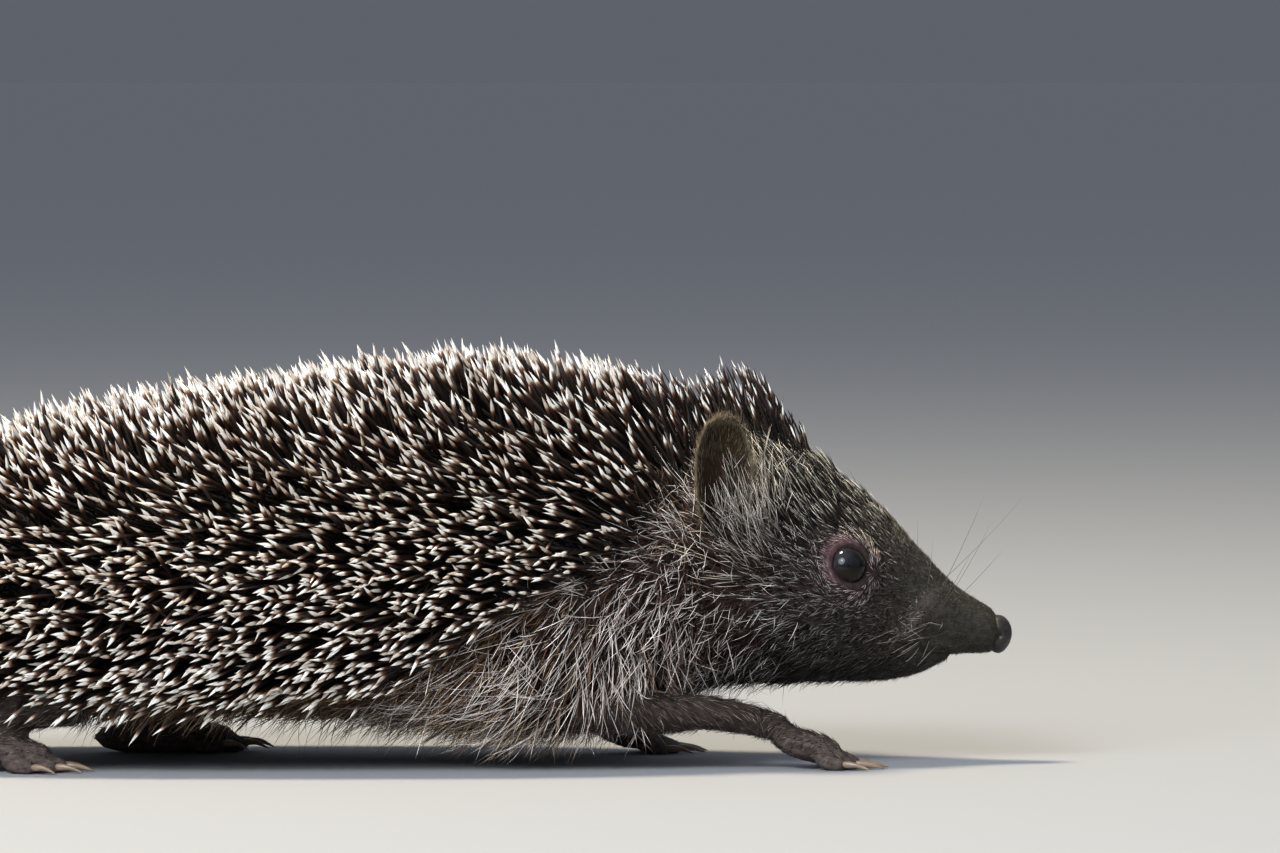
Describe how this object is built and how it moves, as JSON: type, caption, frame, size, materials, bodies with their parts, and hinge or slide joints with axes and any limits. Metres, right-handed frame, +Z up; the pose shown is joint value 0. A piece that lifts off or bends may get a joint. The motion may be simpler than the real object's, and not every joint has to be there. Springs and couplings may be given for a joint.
{
  "type": "hedgehog",
  "caption": "Still, life-size model of a European hedgehog walking low with its snout forward and one forepaw stretched out, standing on small flats under its feet.",
  "frame": {"origin": "middle of the bounding box on the floor, under the trunk", "axes": "+X towards the nose, +Y to the animal's left, +Z up; the feet stand at z = 0"},
  "size_m": [0.2317, 0.095, 0.0796],
  "materials": {
    "quills": "dark brown quills with cream tips",
    "fur": "coarse brown fur with long pale hairs",
    "face": "short grey-brown fur with pale tips",
    "limb": "dark skin with thin short fur",
    "ear": "thin brown skin with fine down",
    "eye": "wet gloss, brown-black",
    "nose": "moist dark skin",
    "claw": "satin horn"
  },
  "bodies": {
    "root": {"fore_right_upper": "fur", "fore_right_lower": "limb", "fore_right_foot": "limb", "fore_right_claw_1": "claw", "fore_right_claw_2": "claw", "fore_right_claw_3": "claw", "fore_right_claw_4": "claw", "fore_right_claw_5": "claw", "fore_left_upper": "fur", "fore_left_lower": "limb", "fore_left_foot": "limb", "fore_left_claw_1": "claw", "fore_left_claw_2": "claw", "fore_left_claw_3": "claw", "fore_left_claw_4": "claw", "fore_left_claw_5": "claw", "hind_right_upper": "fur", "hind_right_lower": "limb", "hind_right_foot": "limb", "hind_right_claw_1": "claw", "hind_right_claw_2": "claw", "hind_right_claw_3": "claw", "hind_right_claw_4": "claw", "hind_right_claw_5": "claw", "hind_left_upper": "fur", "hind_left_lower": "limb", "hind_left_foot": "limb", "hind_left_claw_1": "claw", "hind_left_claw_2": "claw", "hind_left_claw_3": "claw", "hind_left_claw_4": "claw", "hind_left_claw_5": "claw", "eye_left": "eye", "ear_left": "ear", "eye_right": "eye", "ear_right": "ear", "nose_pad": "nose", "lower_jaw": "face", "trunk_rear": "quills", "trunk_middle": "quills", "shoulders": "quills", "neck": "fur", "head": "face", "snout": "face", "tail": "limb"}
  },
  "joints": []
}
